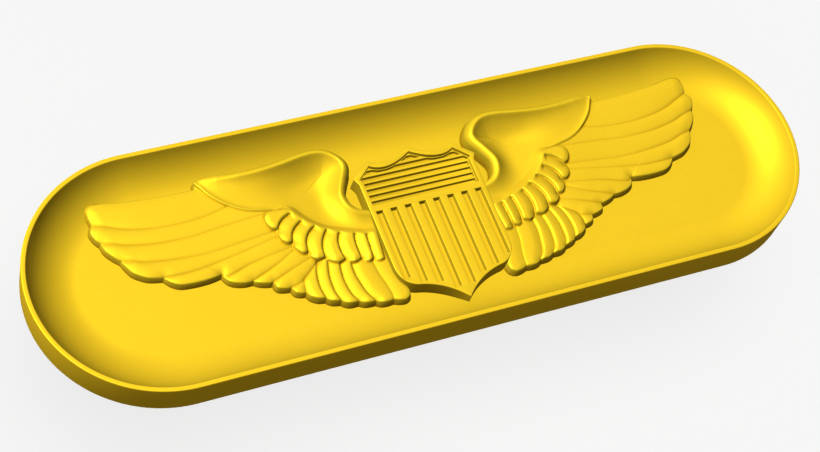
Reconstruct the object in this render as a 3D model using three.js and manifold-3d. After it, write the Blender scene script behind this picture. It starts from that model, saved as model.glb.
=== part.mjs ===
// Pilot wings pin: a striped shield between two feathered wings, riveted into a long dished
// plate with round ends, and worn on three posts with butterfly clutches.
//
// Frame, in millimetres: the origin is the centre of the back plate's rear face, the face
// that lies on the garment. +X is the viewer's right, +Y is towards the top of the wings,
// and +Z points out of the display face.

import * as THREE from 'three';
import { mergeVertices } from 'three/addons/utils/BufferGeometryUtils.js';
import Module from 'manifold-3d';

const wasm = await Module();
wasm.setup();

// ---------------------------------------------------------------- driving dimensions

const PLATE_LENGTH = 94.5;
const PLATE_WIDTH = 29.43;
const PLATE_HEIGHT = 4.14; // rear face to the top of the rim
const SHEET = 0.4; // pressed sheet of the dish
const FLOOR_TOP = 1.1; // the dish's floor
const FLOOR_HALF_WIDTH = 8.8; // where the floor turns up into the cove
const COVE_RADIUS = 6.3;
const EDGE_ROUND = 0.12; // broken edges of the rim

const EMBLEM_GAP = 0.02; // solder film under the wings and the shield
const COVE_GAP = 0.25; // relief of the emblem's underside over the cove
const COVE_BAND = 0.2; // the underside's turn from floor to cove
const UNDERSIDE_REACH = 0.8; // stop of the cove's relief short of the plate's edge

const SHIELD_TOP = 3.02;
const SHIELD_SIDE = 7.2; // half width
const SHIELD_PEAK = 8.5;
const SHIELD_TIP = -11.8;
const SHIELD_EDGE = 0.12; // broken edge all round
const SHIELD_CLEARANCE = 0.12; // between the shield's sides and the wings
const CHIEF_STEP = 0.47; // sunk upper field, crossed by level grooves
const CHIEF_HALF_WIDTH = 6.67;
const CHIEF_BOTTOM = 2.05;
const CHIEF_MARGIN = 0.23; // from the field's lower edge to the first groove
const GROOVE_PITCH = 0.8;
const GROOVE_WIDTH = 0.48;
const GROOVE_DEPTH = 0.45;
const GROOVE_COUNT = 7;
const STRIPE_DEPTH = 0.75; // upright slots of the lower field
const STRIPE_PITCH = 1.77;
const STRIPE_WIDTH = 0.85;
const STRIPE_TOP = 1.2;
const STRIPE_BOTTOMS = [-10.2, -9.1, -8.6, -7.7]; // from the centre outwards

const BLADE_MIDDLE = 1.4; // a level inside the wing's blade
const BLADE_TOP = 1.75;
const FEATHER_TOP = 2;
const CORE_TOP = 2.15;
const COVERT_TOP = 2.45;
const FEATHER_BEVEL = 0.17;
const FEATHER_INSET = 0.07; // half the groove between two feathers
const SHOULDER_BEVEL = 0.3;
const SHOULDER_PANEL = 2.4;
const SHOULDER_RIM = 3.0;

const RIVET_SHANK = 0.5; // radii
const RIVET_HEAD = 1.2;
const RIVET_TOP = 1.65;
const POST_RADIUS = 0.6;
const POST_FLANGE = 1.4;
const POST_LENGTH = 7.4; // below the rear face
const POST_POINT = 1; // length of the tapered point
const POST_NECK = 0.15; // depth of the locking neck
const HOLE_CLEARANCE = 0.06;
const COUNTERBORE = 0.34; // depth, at either face of the back plate
const SEAT_GAP = 0.02; // between two faces that rest on each other
const THROUGH = 1; // how far a cutting tool runs past the faces it opens

const CLOTH_GAP = 2.15; // garment held between the back plate and a clutch
const CLUTCH_RADIUS = 5.7;
const CLUTCH_SHEET = 0.5;
const CLUTCH_BORE = 0.8;
const CAP_RADIUS = 3.6;
const CAP_WALL = 0.4;
const CAP_HEIGHT = 1.9;
const NOTCH_INNER = 1.9; // each side notch starts this far from the post
const NOTCH_MARGIN = 0.4; // and is this much wider, each side, than the ear
const JAW_DROP = 0.6; // from the cap's rim to the top of a jaw
const JAW_CLEARANCE = 0.08;
const JAW_START = 0.15; // each jaw stops this short of the middle
const EAR_SHEET = 0.4;
const EAR_NECK = 1.2; // half widths
const EAR_HALF_WIDTH = 2.5;
const EAR_LENGTH = 4.1;
const EAR_CORNER = 1.4;
const EAR_KNEE = CAP_RADIUS - CAP_WALL - 0.15; // where the ear passes the cap's wall
const EAR_SLOPE = THREE.MathUtils.degToRad(28);

const RIVET_PLACES = {
  left_wing_upper_rivet: [-17, 7.4],
  left_wing_lower_rivet: [-11.5, -2],
  shield_upper_rivet: [0, 5],
  shield_lower_rivet: [0, -8.2],
  right_wing_lower_rivet: [11.5, -2],
  right_wing_upper_rivet: [17, 7.4],
};
const POST_PLACES = { left: [-30, 3], centre: [0, -4.4], right: [30, 3] };

const STADIUM_SEGMENTS = 48;
const ROUND_SEGMENTS = 32;
const SMALL_SEGMENTS = 12;

// ---------------------------------------------------------------- materials

const satinGold = new THREE.MeshStandardMaterial({ color: 0xf2c53a, roughness: 0.42, metalness: 1 });
const backGold = new THREE.MeshStandardMaterial({ color: 0xd9ac45, roughness: 0.5, metalness: 1 });
const plated = new THREE.MeshStandardMaterial({ color: 0xc9c6bd, roughness: 0.3, metalness: 1 });
const springBrass = new THREE.MeshStandardMaterial({ color: 0xcfa94e, roughness: 0.36, metalness: 1 });

// ---------------------------------------------------------------- solids

// A welded, closed geometry as a solid that can be cut and joined.
function solid(geometry) {
  const bare = geometry.clone();
  bare.deleteAttribute('normal');
  bare.deleteAttribute('uv');
  const welded = mergeVertices(bare);
  const corners = welded.index.array;
  const triangles = [];
  for (let i = 0; i < corners.length; i += 3) {
    const [a, b, c] = [corners[i], corners[i + 1], corners[i + 2]];
    if (a !== b && b !== c && c !== a) triangles.push(a, b, c);
  }
  return new wasm.Manifold(new wasm.Mesh({
    numProp: 3,
    vertProperties: new Float32Array(welded.attributes.position.array),
    triVerts: new Uint32Array(triangles),
  }));
}

function geometryOf(body) {
  const mesh = body.getMesh();
  const geometry = new THREE.BufferGeometry();
  geometry.setAttribute('position', new THREE.BufferAttribute(mesh.vertProperties, 3));
  geometry.setIndex(new THREE.BufferAttribute(mesh.triVerts, 1));
  geometry.computeVertexNormals();
  return geometry;
}

function join(bodies) {
  return bodies.reduce((whole, body) => whole.add(body));
}

function cutAll(body, tools) {
  return tools.reduce((rest, tool) => rest.subtract(tool), body);
}

// A turned piece about +Z; the profile is a list of [radius, height].
function turned(profile, segments = SMALL_SEGMENTS) {
  const points = profile.map(([radius, height]) => new THREE.Vector2(radius, height));
  return solid(new THREE.LatheGeometry(points, segments).rotateX(Math.PI / 2));
}

function cylinder(radius, low, high, [x, y] = [0, 0], segments = SMALL_SEGMENTS) {
  const geometry = new THREE.CylinderGeometry(radius, radius, high - low, segments);
  return solid(geometry.rotateX(Math.PI / 2).translate(x, y, (low + high) / 2));
}

function box([x0, x1], [y0, y1], [z0, z1]) {
  const geometry = new THREE.BoxGeometry(x1 - x0, y1 - y0, z1 - z0);
  return solid(geometry.translate((x0 + x1) / 2, (y0 + y1) / 2, (z0 + z1) / 2));
}

// A turned piece pulled apart along X, so that every level is a stadium. The flats of its
// polygon, not the corners, lie on the stated radius.
function stadium(profile, segments = STADIUM_SEGMENTS) {
  const step = Math.PI / segments;
  const halfStraight = (PLATE_LENGTH - PLATE_WIDTH) / 2;
  const points = profile.map(([radius, height]) => new THREE.Vector2(radius / Math.cos(step), height));
  const geometry = new THREE.LatheGeometry(points, segments, step, 2 * Math.PI);
  const place = geometry.attributes.position;
  for (let i = 0; i < place.count; i += 1) {
    const angle = step * (1 + 2 * Math.floor(i / profile.length));
    place.setX(i, place.getX(i) + Math.sign(Math.sin(angle)) * halfStraight);
  }
  return solid(geometry.rotateX(Math.PI / 2));
}

// An outline raised from one level to another, drawn in by the inset all round, with its
// upper edge bevelled inwards.
function raised(outline, low, high, bevel = 0, inset = 0) {
  const shape = outline instanceof THREE.Shape ? outline : new THREE.Shape(outline);
  const geometry = new THREE.ExtrudeGeometry(shape, {
    depth: high - low - 2 * bevel,
    bevelEnabled: bevel > 0,
    bevelThickness: bevel,
    bevelSize: bevel,
    bevelOffset: -bevel - inset,
    bevelSegments: 1,
    curveSegments: 5,
  });
  return solid(geometry.translate(0, 0, low + bevel));
}

// ---------------------------------------------------------------- dish and back plate

const PLATE_RADIUS = PLATE_WIDTH / 2;
const COVE_CENTRE = FLOOR_TOP + COVE_RADIUS;
const SKIRT_INSIDE = PLATE_RADIUS - SHEET;

// Height of an arc about the cove's centre line at a distance from the long axis.
function coveHeight(distance, radius = COVE_RADIUS) {
  const across = Math.max(distance - FLOOR_HALF_WIDTH, 0);
  return COVE_CENTRE - Math.sqrt(radius * radius - across * across);
}

function coveProfile(radius, from, to, steps) {
  return Array.from({ length: steps + 1 }, (_, i) => {
    const distance = from + ((to - from) * i) / steps;
    return [distance, coveHeight(distance, radius)];
  });
}

function trayBody() {
  const underside = COVE_RADIUS + SHEET;
  const lift = COVE_CENTRE - PLATE_HEIGHT;
  const rimInside = FLOOR_HALF_WIDTH + Math.sqrt(COVE_RADIUS ** 2 - lift ** 2);
  const profile = [
    [0, FLOOR_TOP - SHEET],
    ...coveProfile(underside, FLOOR_HALF_WIDTH, SKIRT_INSIDE, 5),
    [SKIRT_INSIDE, 0],
    [PLATE_RADIUS - EDGE_ROUND, 0],
    [PLATE_RADIUS, EDGE_ROUND],
    [PLATE_RADIUS, PLATE_HEIGHT - EDGE_ROUND],
    [PLATE_RADIUS - EDGE_ROUND, PLATE_HEIGHT],
    ...coveProfile(COVE_RADIUS, rimInside, FLOOR_HALF_WIDTH, 8),
    [0, FLOOR_TOP],
  ];
  const holes = Object.values(RIVET_PLACES).map((place) => (
    cylinder(RIVET_SHANK + HOLE_CLEARANCE, 0, FLOOR_TOP + THROUGH, place)));
  return cutAll(stadium(profile), holes);
}

function backPlateBody() {
  const thickness = FLOOR_TOP - SHEET;
  const radius = SKIRT_INSIDE - HOLE_CLEARANCE;
  const blank = stadium([[0, 0], [radius, 0], [radius, thickness], [0, thickness]]);
  const rivetHoles = Object.values(RIVET_PLACES).flatMap((place) => [
    cylinder(RIVET_SHANK + HOLE_CLEARANCE, -THROUGH, thickness + THROUGH, place),
    cylinder(RIVET_HEAD + HOLE_CLEARANCE, -THROUGH, COUNTERBORE, place),
  ]);
  const postHoles = Object.values(POST_PLACES).flatMap((place) => [
    cylinder(POST_RADIUS + HOLE_CLEARANCE, -THROUGH, thickness + THROUGH, place),
    cylinder(POST_FLANGE + HOLE_CLEARANCE, thickness - COUNTERBORE, thickness + THROUGH, place),
  ]);
  return cutAll(blank, [...rivetHoles, ...postHoles]);
}

// Everything that the emblem's underside must stay clear of: the floor's solder film, the
// cove, and the rivets' blind holes.
function emblemRelief() {
  const inner = COVE_RADIUS - COVE_GAP;
  const outside = PLATE_RADIUS + THROUGH;
  const below = stadium([
    [0, -THROUGH],
    [outside, -THROUGH],
    [outside, PLATE_HEIGHT],
    ...coveProfile(inner, PLATE_RADIUS - UNDERSIDE_REACH, FLOOR_HALF_WIDTH, 8),
    [FLOOR_HALF_WIDTH - COVE_BAND, FLOOR_TOP + EMBLEM_GAP],
    [0, FLOOR_TOP + EMBLEM_GAP],
  ]);
  const holes = Object.values(RIVET_PLACES).map((place) => (
    cylinder(RIVET_SHANK + HOLE_CLEARANCE, 0, RIVET_TOP + HOLE_CLEARANCE, place)));
  return join([below, ...holes]);
}

// ---------------------------------------------------------------- wings

// Flight feathers of one wing, from the leading edge round to the shield, as [out, up]: out
// is the distance from the pin's centre line. Each has its rounded tip, the notch before the
// next feather, and the crease that runs from the notch to the feather's root.
const LEADING_EDGE = [[37.1, 10.35], [32, 9.85], [28, 9.65], [22, 9.6]];
const FLIGHT_FEATHERS = [
  { tip: [[37.7, 9.6]], notch: [37.6, 8.1], crease: [[34.5, 6.75], [31, 5.95], [27, 5.8], [21, 6.6]] },
  { tip: [[38, 7.2], [37.8, 6.2]], notch: [37.3, 5.55],
    crease: [[34.5, 4.65], [31, 4], [27, 3.9], [17, 4.5]] },
  { tip: [[37.1, 4.6], [36.6, 3.6]], notch: [35.8, 2.9],
    crease: [[33, 2.1], [29, 1.55], [25, 1.5], [16.5, 3.1]] },
  { tip: [[35.4, 1.9], [34.7, 0.8], [33.5, 0.1]], notch: [32, -0.2],
    crease: [[29, -0.3], [26, 0], [16.2, 2.2]] },
  { tip: [[31.3, -1], [29.9, -1.65], [27, -1.65]], notch: [25.5, -1.5], crease: [[22, -1], [15.9, 1.5]] },
  { tip: [[25.2, -2.4], [24.2, -3]], notch: [22.6, -3.1], crease: [[19, -1.7], [15.3, 0.7]] },
  { tip: [[22, -3.5], [21.3, -3.8]], notch: [20.5, -3.8], crease: [[18, -2.9], [16.7, -2], [15, -0.6]] },
  { tip: [[20.3, -4.6], [19.6, -4.95]], notch: [18.8, -5], crease: [[17.2, -4.3], [16, -2.9], [14.8, -1.6]] },
  { tip: [[18.5, -5.7], [18, -5.95]], notch: [17.3, -6], crease: [[16.4, -4.8], [15.3, -3.1], [14.2, -2.1]] },
  { tip: [[17, -6.8], [16.4, -7.15]], notch: [15.5, -7.3],
    crease: [[15.6, -5.5], [14.5, -3.3], [13.5, -2.4]] },
  { tip: [[15.2, -7.7], [14.7, -7.97]], notch: [13.9, -8.05],
    crease: [[14.4, -5.5], [13.6, -3.3], [12.7, -2.3]] },
  { tip: [[13.6, -8.5], [13, -8.67]], notch: [11.9, -8.6], crease: [[12.9, -6], [12.5, -3.6], [12, -2]] },
  { tip: [[11.5, -8.95], [10.9, -9.08]], notch: [10.1, -9.05],
    crease: [[11.4, -6.2], [11.2, -3.9], [10.9, -2.2]] },
  { tip: [[9.7, -9.4], [9, -9.52]], notch: [8.1, -9.45], crease: [[8.9, -6.5], [9, -4.3], [8.9, -2.3]] },
  { tip: [[7.5, -9.7], [6.8, -9.75]], notch: [6.2, -9], crease: [[6.6, -6], [6.8, -2.4]] },
];

// The short covert feathers that lie over the flight feathers' roots.
const FIRST_COVERT_EDGE = [[18.8, 4.4], [17, 4.6], [14.6, 4.8]];
const COVERTS = [
  { tip: [[19.1, 3.5], [18.8, 2.7]], notch: [18.1, 2.15], crease: [[17.2, 3.1], [14, 4.2]] },
  { tip: [[18.1, 1.2], [17.6, 0.35]], notch: [16.9, 0.3], crease: [[16.2, 1.9], [13.2, 3.4]] },
  { tip: [[16.9, -0.5], [16.4, -1.35]], notch: [15.6, -1.35], crease: [[15.2, 0.7], [12.4, 2.5]] },
  { tip: [[15.4, -1.7], [14.9, -2.5]], notch: [13.9, -2.4], crease: [[13.7, -0.6], [11.4, 1.8]] },
  { tip: [[13.6, -2.7], [12.9, -3.35]], notch: [11.9, -3.3], crease: [[12.1, -1.5], [10.6, 1.3]] },
  { tip: [[11.6, -3.5], [10.8, -3.9]], notch: [9.95, -3.75], crease: [[10.1, -2.2], [9.4, 1]] },
  { tip: [[9.7, -3.95], [9.2, -4.2]], notch: [8.75, -4.05], crease: [[8.85, -2.6], [8.4, 0.8]] },
  { tip: [[8.5, -4.2], [7.9, -4.45]], notch: [7, -4.4], crease: [[6.9, -2.4], [6.9, 0.8]] },
];

// The shoulder's ridge, from its outer tip along the top and down the curl beside the
// shield, and the lower edge that lies on the coverts and the first flight feathers.
const SHOULDER_RIDGE = [
  [24.9, 10.05], [22.7, 10.1], [20.3, 9.9], [17.4, 9.9], [14.8, 10.15], [12.4, 10.5], [10.9, 10.65],
  [9.6, 10.4], [8.5, 9.7], [7.8, 8.8], [7.6, 7.9], [8.4, 6], [9.2, 4.6], [9.3, 3.7], [8.9, 2.6], [8.2, 1.8],
  [6.8, 1.2],
];
const SHOULDER_LOWER_EDGE = [
  [6.8, -0.8], [8.6, -0.6], [11.3, 0.4], [12.6, 1], [13.8, 1.9], [14.8, 3], [15.8, 4.4],
  [18.5, 4.9], [20.25, 5.3], [21.7, 6], [23.1, 7.1], [24.1, 8.2],
];
// The blade's corner that rounds off the shoulder's tip.
const SHOULDER_TIP_CORNER = [25.3, 9.6];
// The sunk panel inside the shoulder's raised rim; it runs out past the lower edge.
const PANEL = [
  [25.2, 9.1], [20.3, 8.8], [17, 8.7], [14.5, 8.9], [12.2, 9.2], [10.6, 8.9], [9.5, 8.1], [9.7, 6.6],
  [10.6, 4.8], [10.7, 3.4], [10.2, 2], [9.2, 1], [9, -2], [14, -1], [18, 3], [24, 5],
];
// Solid metal under the coverts and the shoulder, over the flight feathers' roots.
const CORE = [
  [6.8, -3.8], [8.7, -3.5], [10, -3.2], [12, -2.7], [13.9, -1.8], [15.5, -0.7], [16.8, 0.7], [17.9, 2.4],
  [18.2, 3.8], [20.5, 6.2], [22.5, 7.8], [23.2, 9.2], [17, 9.4], [12.4, 9.9], [9, 9.2], [8.6, 8],
  [10, 5], [10, 2.5], [8, 0.8], [6.8, 0.4],
];

// Each feather's outline: its upper crease out to the notch, round the tip, and back.
function featherOutlines(firstEdge, feathers) {
  return feathers.map((feather, i) => {
    const before = i === 0 ? null : feathers[i - 1];
    const upper = before ? [...before.crease].reverse().concat([before.notch]) : [...firstEdge].reverse();
    return [...upper, ...feather.tip, feather.notch, ...feather.crease];
  });
}

// One wing; side is -1 for the viewer's left and +1 for the right. Every feather stands on
// one blade, drawn in a little from its outline, so that a groove parts it from the next.
function wingBody(side, relief, shieldRoom) {
  const outline = (points) => points.map(([out, up]) => new THREE.Vector2(side * out, up));
  const onBlade = (points, top, bevel) => raised(outline(points), BLADE_MIDDLE, top, bevel, FEATHER_INSET);
  const tips = FLIGHT_FEATHERS.flatMap((feather) => [...feather.tip, feather.notch]);
  const ridgeBack = [...SHOULDER_RIDGE].reverse();
  const edgeBack = [...LEADING_EDGE].reverse().slice(1);
  const bladeOutline = [...tips, ...ridgeBack, SHOULDER_TIP_CORNER, ...edgeBack];
  const blade = raised(outline(bladeOutline), FLOOR_TOP - THROUGH, BLADE_TOP);
  const flight = featherOutlines(LEADING_EDGE, FLIGHT_FEATHERS).map((points) => (
    onBlade(points, FEATHER_TOP, FEATHER_BEVEL)));
  const coverts = featherOutlines(FIRST_COVERT_EDGE, COVERTS).map((points) => (
    onBlade(points, COVERT_TOP, FEATHER_BEVEL)));
  const shoulder = onBlade([...SHOULDER_RIDGE, ...SHOULDER_LOWER_EDGE], SHOULDER_RIM, SHOULDER_BEVEL)
    .subtract(raised(outline(PANEL), SHOULDER_PANEL, SHOULDER_RIM + THROUGH));
  const core = raised(outline(CORE), BLADE_MIDDLE, CORE_TOP);
  return cutAll(join([blade, core, ...flight, ...coverts, shoulder]), [relief, shieldRoom]);
}

// ---------------------------------------------------------------- shield

// The right half from the tip up to the peak, and the left half back down. The clearance
// moves the sides out and stretches the rest in proportion.
function shieldOutline(clearance = 0) {
  const grow = 1 + clearance / SHIELD_SIDE;
  const shape = new THREE.Shape();
  const at = (x, y) => [x * grow, y * grow];
  shape.moveTo(...at(0, SHIELD_TIP));
  shape.quadraticCurveTo(...at(2.2, -9.3), ...at(5.3, -8.8));
  shape.quadraticCurveTo(...at(7.1, -8.2), ...at(SHIELD_SIDE, -6));
  shape.lineTo(...at(7.25, 5));
  shape.lineTo(...at(7.65, 5.8));
  shape.lineTo(...at(5.3, 7.8));
  shape.quadraticCurveTo(...at(3.35, 6.25), ...at(0, SHIELD_PEAK));
  shape.quadraticCurveTo(...at(-3.35, 6.25), ...at(-5.3, 7.8));
  shape.lineTo(...at(-7.65, 5.8));
  shape.lineTo(...at(-7.25, 5));
  shape.lineTo(...at(-SHIELD_SIDE, -6));
  shape.quadraticCurveTo(...at(-7.1, -8.2), ...at(-5.3, -8.8));
  shape.quadraticCurveTo(...at(-2.2, -9.3), ...at(0, SHIELD_TIP));
  return shape;
}

function chiefOutline() {
  const shape = new THREE.Shape();
  shape.moveTo(-CHIEF_HALF_WIDTH, CHIEF_BOTTOM);
  shape.lineTo(CHIEF_HALF_WIDTH, CHIEF_BOTTOM);
  shape.lineTo(CHIEF_HALF_WIDTH, 5.2);
  shape.lineTo(6.95, 5.6);
  shape.lineTo(5.3, 7.1);
  shape.quadraticCurveTo(3.35, 5.75, 0, 7.85);
  shape.quadraticCurveTo(-3.35, 5.75, -5.3, 7.1);
  shape.lineTo(-6.95, 5.6);
  shape.lineTo(-CHIEF_HALF_WIDTH, 5.2);
  return shape;
}

function shieldBody(relief) {
  const chiefFloor = SHIELD_TOP - CHIEF_STEP;
  const chief = raised(chiefOutline(), chiefFloor, SHIELD_TOP + THROUGH);
  const grooveRoom = raised(chiefOutline(), FLOOR_TOP, SHIELD_TOP + THROUGH);
  const across = [-SHIELD_SIDE, SHIELD_SIDE];
  const grooves = Array.from({ length: GROOVE_COUNT }, (_, i) => {
    const low = CHIEF_BOTTOM + CHIEF_MARGIN + i * GROOVE_PITCH;
    const depth = [chiefFloor - GROOVE_DEPTH, SHIELD_TOP];
    return box(across, [low, low + GROOVE_WIDTH], depth).intersect(grooveRoom);
  });
  const stripes = STRIPE_BOTTOMS.flatMap((low, i) => [-1, 1].map((side) => {
    const centre = side * (i + 0.5) * STRIPE_PITCH;
    const width = [centre - STRIPE_WIDTH / 2, centre + STRIPE_WIDTH / 2];
    return box(width, [low, STRIPE_TOP], [SHIELD_TOP - STRIPE_DEPTH, SHIELD_TOP + THROUGH]);
  }));
  const blank = raised(shieldOutline(), FLOOR_TOP - THROUGH, SHIELD_TOP, SHIELD_EDGE);
  return cutAll(blank, [chief, ...grooves, ...stripes, relief]);
}

// ---------------------------------------------------------------- fasteners

function rivetBody() {
  const edge = 0.1;
  const headLow = SEAT_GAP;
  const headHigh = COUNTERBORE - SEAT_GAP;
  return turned([
    [0, headLow],
    [RIVET_HEAD - edge, headLow],
    [RIVET_HEAD, headLow + edge],
    [RIVET_HEAD, headHigh],
    [RIVET_SHANK, headHigh],
    [RIVET_SHANK, RIVET_TOP],
    [0, RIVET_TOP],
  ]);
}

// A post: flange held between the back plate and the dish, shank, locking neck and point.
function postBody() {
  const flangeHigh = FLOOR_TOP - SHEET - SEAT_GAP;
  const flangeLow = FLOOR_TOP - SHEET - COUNTERBORE + SEAT_GAP;
  const neck = POST_RADIUS - POST_NECK;
  const pointTop = POST_POINT - POST_LENGTH;
  return turned([
    [0, -POST_LENGTH],
    [0.12, -POST_LENGTH],
    [neck, pointTop],
    [POST_RADIUS, pointTop + 0.3],
    [POST_RADIUS, pointTop + 0.7],
    [neck, pointTop + 0.9],
    [neck, pointTop + 1.3],
    [POST_RADIUS, pointTop + 1.5],
    [POST_RADIUS, flangeLow],
    [POST_FLANGE, flangeLow],
    [POST_FLANGE, flangeHigh],
    [0, flangeHigh],
  ]);
}

// ---------------------------------------------------------------- butterfly clutch

const DISC_LOW = -CLOTH_GAP - CLUTCH_SHEET;
const CAP_TOP = DISC_LOW - SEAT_GAP;
const CAP_LOW = CAP_TOP - CAP_HEIGHT;
const JAW_TOP = CAP_TOP - JAW_DROP;
const JAW_LOW = JAW_TOP - EAR_SHEET;

function clutchDiscBody() {
  return turned([
    [CLUTCH_BORE, DISC_LOW],
    [CLUTCH_RADIUS - 0.3, DISC_LOW],
    [CLUTCH_RADIUS, DISC_LOW + 0.15],
    [CLUTCH_RADIUS, -CLOTH_GAP - 0.12],
    [CLUTCH_RADIUS - 0.15, -CLOTH_GAP],
    [CLUTCH_BORE, -CLOTH_GAP],
    [CLUTCH_BORE, DISC_LOW],
  ], ROUND_SEGMENTS);
}

// A cup with a notch on either side that the ears pass through.
function clutchCapBody() {
  const floor = CAP_LOW + CAP_WALL;
  const cup = turned([
    [CLUTCH_BORE, CAP_LOW],
    [CAP_RADIUS - 0.3, CAP_LOW],
    [CAP_RADIUS, CAP_LOW + 0.25],
    [CAP_RADIUS, CAP_TOP],
    [CAP_RADIUS - CAP_WALL, CAP_TOP],
    [CAP_RADIUS - CAP_WALL, floor],
    [CLUTCH_BORE, floor],
    [CLUTCH_BORE, CAP_LOW],
  ], 24);
  const reach = CAP_RADIUS + THROUGH;
  const halfWidth = EAR_NECK + NOTCH_MARGIN;
  const notches = [[-reach, -NOTCH_INNER], [NOTCH_INNER, reach]].map((along) => (
    box(along, [-halfWidth, halfWidth], [CAP_LOW - THROUGH, JAW_TOP + 0.15])));
  return cutAll(cup, notches);
}

// One ear: a jaw that grips the post, a bent neck and a finger leaf. It is made on the +X
// side of the post.
function earBody() {
  const neckProfile = new THREE.Shape([
    [JAW_START, JAW_LOW],
    [EAR_KNEE - 0.5, JAW_LOW],
    [EAR_KNEE - 0.2, JAW_LOW - 0.3],
    [EAR_KNEE, CAP_LOW],
    [EAR_KNEE + 0.45, CAP_LOW - 0.85],
    [EAR_KNEE + 0.8, CAP_LOW - 0.7],
    [EAR_KNEE + 0.4, CAP_LOW],
    [EAR_KNEE + 0.2, JAW_LOW - 0.1],
    [EAR_KNEE - 0.3, JAW_TOP],
    [JAW_START, JAW_TOP],
  ].map(([x, z]) => new THREE.Vector2(x, z)));
  const strip = new THREE.ExtrudeGeometry(neckProfile, { depth: 2 * EAR_NECK, bevelEnabled: false });
  const neck = solid(strip.rotateX(Math.PI / 2).translate(0, EAR_NECK, 0));

  const cornerEnd = EAR_LENGTH - EAR_CORNER;
  const leafShape = new THREE.Shape();
  leafShape.moveTo(-EAR_NECK, 0);
  leafShape.quadraticCurveTo(-EAR_HALF_WIDTH, 0.3, -EAR_HALF_WIDTH, EAR_CORNER);
  leafShape.lineTo(-EAR_HALF_WIDTH, cornerEnd);
  leafShape.quadraticCurveTo(-EAR_HALF_WIDTH, EAR_LENGTH, 0, EAR_LENGTH);
  leafShape.quadraticCurveTo(EAR_HALF_WIDTH, EAR_LENGTH, EAR_HALF_WIDTH, cornerEnd);
  leafShape.lineTo(EAR_HALF_WIDTH, EAR_CORNER);
  leafShape.quadraticCurveTo(EAR_HALF_WIDTH, 0.3, EAR_NECK, 0);
  const sheet = { depth: EAR_SHEET, bevelEnabled: false, curveSegments: 4 };
  const plate = new THREE.ExtrudeGeometry(leafShape, sheet);
  const down = new THREE.Vector3(Math.sin(EAR_SLOPE), 0, -Math.cos(EAR_SLOPE));
  const outward = new THREE.Vector3(Math.cos(EAR_SLOPE), 0, Math.sin(EAR_SLOPE));
  const tilt = new THREE.Matrix4().makeBasis(new THREE.Vector3(0, -1, 0), down, outward);
  const start = new THREE.Vector3(EAR_KNEE, 0, CAP_LOW).addScaledVector(down, 0.35);
  const leaf = solid(plate.applyMatrix4(tilt).translate(start.x, 0, start.z));
  return neck.add(leaf).subtract(cylinder(POST_RADIUS + JAW_CLEARANCE, -2 * POST_LENGTH, 0));
}

// ---------------------------------------------------------------- assembly

const pin = new THREE.Group();

function addPart(parent, name, body, material, place = [0, 0], turn = 0) {
  const mesh = new THREE.Mesh(geometryOf(body), material);
  mesh.name = name;
  mesh.position.set(place[0], place[1], 0);
  mesh.rotation.z = turn;
  parent.add(mesh);
}

const relief = emblemRelief();
const shieldRoom = raised(shieldOutline(SHIELD_CLEARANCE), 0, PLATE_HEIGHT);

addPart(pin, 'dish_tray', trayBody(), satinGold);
addPart(pin, 'back_plate', backPlateBody(), backGold);
addPart(pin, 'left_wing', wingBody(-1, relief, shieldRoom), satinGold);
addPart(pin, 'right_wing', wingBody(1, relief, shieldRoom), satinGold);
addPart(pin, 'shield', shieldBody(relief), satinGold);

const rivet = rivetBody();
for (const [name, place] of Object.entries(RIVET_PLACES)) {
  addPart(pin, name, rivet, backGold, place);
}

const post = postBody();
const disc = clutchDiscBody();
const cap = clutchCapBody();
const ear = earBody();
for (const [where, [x, y]] of Object.entries(POST_PLACES)) {
  const station = new THREE.Group();
  station.position.set(x, y, 0);
  addPart(station, `${where}_post`, post, plated);
  addPart(station, `${where}_clutch_disc`, disc, springBrass);
  addPart(station, `${where}_clutch_cap`, cap, springBrass);
  addPart(station, `${where}_clutch_ear_a`, ear, springBrass);
  addPart(station, `${where}_clutch_ear_b`, ear, springBrass, [0, 0], Math.PI);
  pin.add(station);
}

export default pin;
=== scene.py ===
"""Pilot wings pin: the finished look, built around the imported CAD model.

Lengths in the shape code are millimetres in the CAD's own frame (origin at the centre of the
back plate's rear face, +Z out of the display face) and turn into metres when a mesh is made.
"""

import math

import bpy
import numpy as np
from mathutils import Matrix, Vector
from mathutils.geometry import tessellate_polygon


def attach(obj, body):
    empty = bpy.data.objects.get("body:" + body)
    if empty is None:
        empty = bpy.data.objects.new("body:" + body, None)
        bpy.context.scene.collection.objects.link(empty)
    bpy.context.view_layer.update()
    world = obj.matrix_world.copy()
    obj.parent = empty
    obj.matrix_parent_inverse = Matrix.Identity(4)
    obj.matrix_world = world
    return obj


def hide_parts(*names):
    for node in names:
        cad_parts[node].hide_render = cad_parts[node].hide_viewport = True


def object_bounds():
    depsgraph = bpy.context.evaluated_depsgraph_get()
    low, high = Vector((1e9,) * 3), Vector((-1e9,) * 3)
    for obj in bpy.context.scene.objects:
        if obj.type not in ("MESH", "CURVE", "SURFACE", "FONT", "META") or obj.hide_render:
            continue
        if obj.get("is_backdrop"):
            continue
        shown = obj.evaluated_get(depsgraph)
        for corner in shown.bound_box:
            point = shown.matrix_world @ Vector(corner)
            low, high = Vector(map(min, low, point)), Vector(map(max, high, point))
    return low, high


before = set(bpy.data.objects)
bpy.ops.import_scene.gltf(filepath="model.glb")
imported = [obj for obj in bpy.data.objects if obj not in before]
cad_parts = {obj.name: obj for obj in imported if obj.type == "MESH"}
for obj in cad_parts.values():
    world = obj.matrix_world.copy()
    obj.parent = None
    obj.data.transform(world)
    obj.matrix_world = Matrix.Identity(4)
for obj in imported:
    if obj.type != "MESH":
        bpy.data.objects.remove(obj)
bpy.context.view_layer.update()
MM = 0.001

# ---- the CAD's main sizes, in mm

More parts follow.
